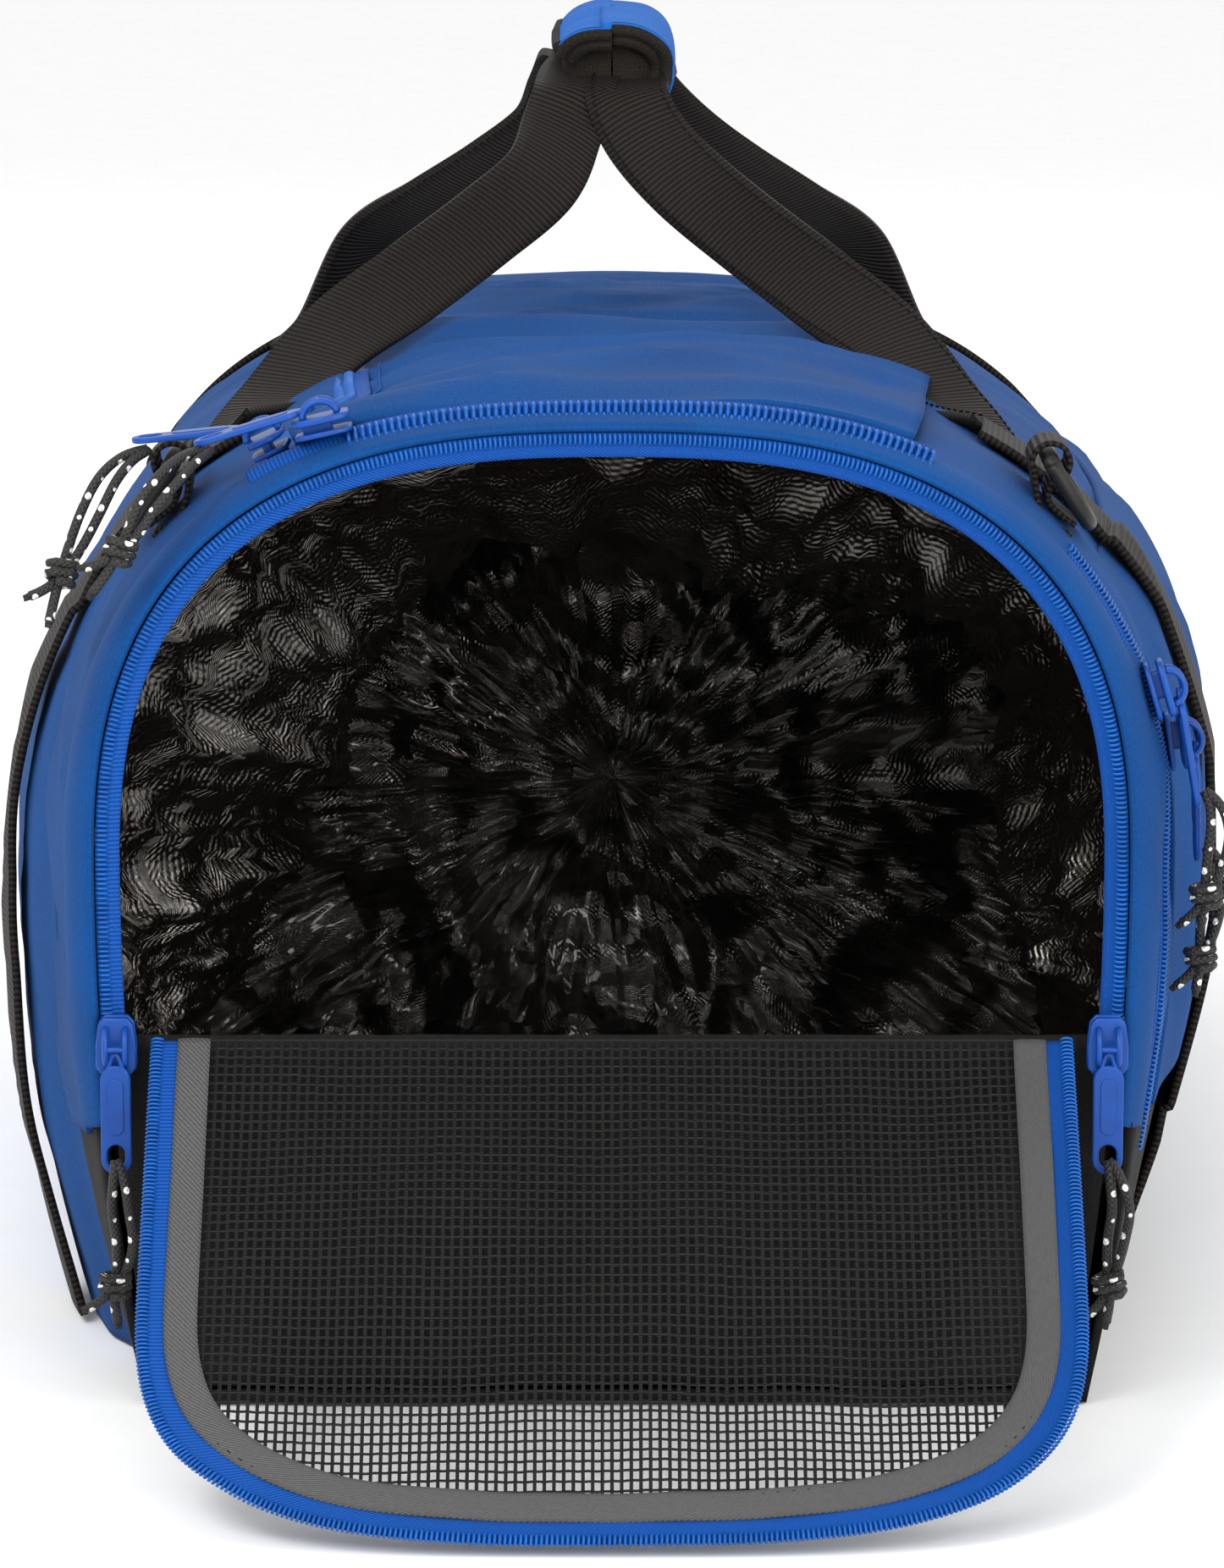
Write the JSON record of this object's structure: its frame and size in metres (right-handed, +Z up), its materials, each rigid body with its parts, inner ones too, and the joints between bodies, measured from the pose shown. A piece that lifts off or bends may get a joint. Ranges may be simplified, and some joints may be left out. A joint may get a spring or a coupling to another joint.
{
  "type": "duffel bag",
  "caption": "Soft zipped duffel with an arched open end, mesh end flap folded down, tarpaulin-lined wet compartment, twin webbing handles and D-rings.",
  "frame": {"origin": "middle of the base's underside, where the bag stands on the floor", "axes": "+Z up, +Y from the open end to the closed rear end, +X to the right seen from the open end"},
  "size_m": [0.3886, 0.8005, 0.391],
  "materials": {
    "shell_fabric": "royal blue woven polyester, slightly wrinkled",
    "base_fabric": "black coated woven polyester",
    "board": "stiffener sheet",
    "tarpaulin": "glossy crinkled woven tarpaulin",
    "zip": "woven zip tape with nylon coil",
    "webbing": "ribbed woven webbing",
    "ring_plastic": "satin moulded plastic",
    "mesh": "open woven mesh",
    "binding": "grey twill tape",
    "grip_fabric": "woven fabric over foam",
    "zip_hardware": "glossy blue enamel",
    "cord": "braided cord with pale flecks"
  },
  "bodies": {
    "bag": {"base_panel": "base_fabric", "base_board": "board", "base_side_left": "base_fabric", "base_side_right": "base_fabric", "base_rear": "base_fabric", "front_lower_panel": "base_fabric", "front_collar": "shell_fabric", "side_panel_left": "shell_fabric", "side_panel_right": "shell_fabric", "rear_end_panel": "shell_fabric", "rear_yoke": "shell_fabric", "liner_roof": "tarpaulin", "liner_left": "tarpaulin", "liner_right": "tarpaulin", "liner_floor": "tarpaulin", "liner_back": "tarpaulin", "end_zip_tape": "zip", "top_zip_tape": "zip", "side_pocket_right": "shell_fabric", "side_pocket_left": "shell_fabric", "side_zip_right": "zip", "side_webbing_left_front": "webbing", "side_webbing_left_rear": "webbing", "side_webbing_right_front": "webbing", "side_webbing_right_rear": "webbing", "ring_tab_left_front": "webbing", "ring_tab_right_front": "webbing", "ring_tab_left_rear": "webbing", "ring_tab_right_rear": "webbing"},
    "end_flap": {"flap_mesh": "mesh", "flap_binding": "binding", "flap_zip_tape": "zip"},
    "lid": {"top_lid": "shell_fabric", "lid_zip_tape": "zip"},
    "handle_left": {"handle_left_webbing": "webbing", "grip_left": "grip_fabric"},
    "handle_right": {"handle_right_webbing": "webbing", "grip_right": "grip_fabric"},
    "end_slider_left_body": {"end_slider_left": "zip_hardware"},
    "end_pull_left_body": {"end_pull_left": "zip_hardware", "end_cord_left": "cord"},
    "end_slider_right_body": {"end_slider_right": "zip_hardware"},
    "end_pull_right_body": {"end_pull_right": "zip_hardware", "end_cord_right": "cord"},
    "top_slider_front_body": {"top_slider_front": "zip_hardware"},
    "top_pull_front_body": {"top_pull_front": "zip_hardware", "top_cord_front": "cord"},
    "top_slider_side_body": {"top_slider_side": "zip_hardware"},
    "top_pull_side_body": {"top_pull_side": "zip_hardware", "top_cord_side": "cord"},
    "side_slider_upper_body": {"side_slider_upper": "zip_hardware"},
    "side_pull_upper_body": {"side_pull_upper": "zip_hardware", "side_cord_upper": "cord"},
    "side_slider_lower_body": {"side_slider_lower": "zip_hardware"},
    "side_pull_lower_body": {"side_pull_lower": "zip_hardware", "side_cord_lower": "cord"},
    "ring_left_front": {"d_ring_left_front": "ring_plastic"},
    "ring_right_front": {"d_ring_right_front": "ring_plastic"},
    "ring_left_rear": {"d_ring_left_rear": "ring_plastic"},
    "ring_right_rear": {"d_ring_right_rear": "ring_plastic"}
  },
  "joints": [
    {"name": "end_flap_hinge", "type": "hinge", "parent": "bag", "child": "end_flap", "pos_m": [0, -0.329, 0.114], "axis": [-1, 0, 0], "range_deg": [0, 127.5]},
    {"name": "handle_left_hinge", "type": "hinge", "parent": "bag", "child": "handle_left", "pos_m": [-0.11262, -0.2145, 0.28191], "axis": [-0.003, -0.9986, 0.0521], "range_deg": [0, 110]},
    {"name": "handle_right_hinge", "type": "hinge", "parent": "bag", "child": "handle_right", "pos_m": [0.11262, -0.2145, 0.28191], "axis": [-0.003, 0.9986, -0.0521], "range_deg": [0, 110]},
    {"name": "lid_hinge", "type": "hinge", "parent": "bag", "child": "lid", "pos_m": [0.094, -0.302, 0.29], "axis": [0, 0.9986, -0.0526], "range_deg": [0, 49.5]},
    {"name": "end_slider_left_slide", "type": "slide", "parent": "bag", "child": "end_slider_left_body", "axis": [-0.2501, 0, 0.9682], "range_m": [0, 0.04]},
    {"name": "end_slider_right_slide", "type": "slide", "parent": "bag", "child": "end_slider_right_body", "axis": [0.2501, 0, 0.9682], "range_m": [0, 0.04]},
    {"name": "top_slider_front_slide", "type": "hinge", "parent": "bag", "child": "top_slider_front_body", "pos_m": [0, -0.3125, -0.057], "axis": [0, 1, 0], "range_deg": [0, 26]},
    {"name": "top_slider_side_slide", "type": "slide", "parent": "bag", "child": "top_slider_side_body", "axis": [0, 0.9992, 0.04], "range_m": [0, 0.025]},
    {"name": "side_slider_upper_slide", "type": "hinge", "parent": "bag", "child": "side_slider_upper_body", "pos_m": [0.05, -0.3, 0.18], "axis": [0, -1, 0], "range_deg": [0, 15]},
    {"name": "side_slider_lower_slide", "type": "hinge", "parent": "bag", "child": "side_slider_lower_body", "pos_m": [-0.12, -0.286, 0.15], "axis": [0, 1, 0], "range_deg": [0, 8.3]},
    {"name": "end_pull_left_hinge", "type": "hinge", "parent": "end_slider_left_body", "child": "end_pull_left_body", "pos_m": [-0.146, -0.3367, 0.112], "axis": [-1, 0, 0], "range_deg": [0, 120]},
    {"name": "end_pull_right_hinge", "type": "hinge", "parent": "end_slider_right_body", "child": "end_pull_right_body", "pos_m": [0.146, -0.3367, 0.112], "axis": [-1, 0, 0], "range_deg": [0, 120]},
    {"name": "top_pull_front_hinge", "type": "hinge", "parent": "top_slider_front_body", "child": "top_pull_front_body", "pos_m": [-0.08593, -0.3125, 0.29888], "axis": [0, 1, 0], "range_deg": [0, 110]},
    {"name": "top_pull_side_hinge", "type": "hinge", "parent": "top_slider_side_body", "child": "top_pull_side_body", "pos_m": [-0.10414, -0.291, 0.28979], "axis": [0, 1, 0], "range_deg": [0, 110]},
    {"name": "side_pull_upper_hinge", "type": "hinge", "parent": "side_slider_upper_body", "child": "side_pull_upper_body", "pos_m": [0.16755, -0.3, 0.21441], "axis": [0, -1, 0], "range_deg": [0, 80]},
    {"name": "side_pull_lower_hinge", "type": "hinge", "parent": "side_slider_lower_body", "child": "side_pull_lower_body", "pos_m": [0.1742, -0.286, 0.19582], "axis": [0, -1, 0], "range_deg": [0, 80]},
    {"name": "ring_left_front_hinge", "type": "hinge", "parent": "bag", "child": "ring_left_front", "pos_m": [-0.1308, -0.2678, 0.27728], "axis": [0, 1, 0], "range_deg": [0, 140]},
    {"name": "ring_left_rear_hinge", "type": "hinge", "parent": "bag", "child": "ring_left_rear", "pos_m": [-0.17013, 0.2795, 0.19648], "axis": [0, 1, 0], "range_deg": [0, 140]},
    {"name": "ring_right_front_hinge", "type": "hinge", "parent": "bag", "child": "ring_right_front", "pos_m": [0.1308, -0.2678, 0.27728], "axis": [0, -1, 0], "range_deg": [0, 140]},
    {"name": "ring_right_rear_hinge", "type": "hinge", "parent": "bag", "child": "ring_right_rear", "pos_m": [0.17013, 0.2795, 0.19648], "axis": [0, -1, 0], "range_deg": [0, 140]}
  ],
  "couplings": [
    {"joint": "handle_right_hinge", "follows": "handle_left_hinge", "ratio": 1},
    {"joint": "lid_hinge", "follows": "handle_left_hinge", "ratio": 0.45}
  ]
}
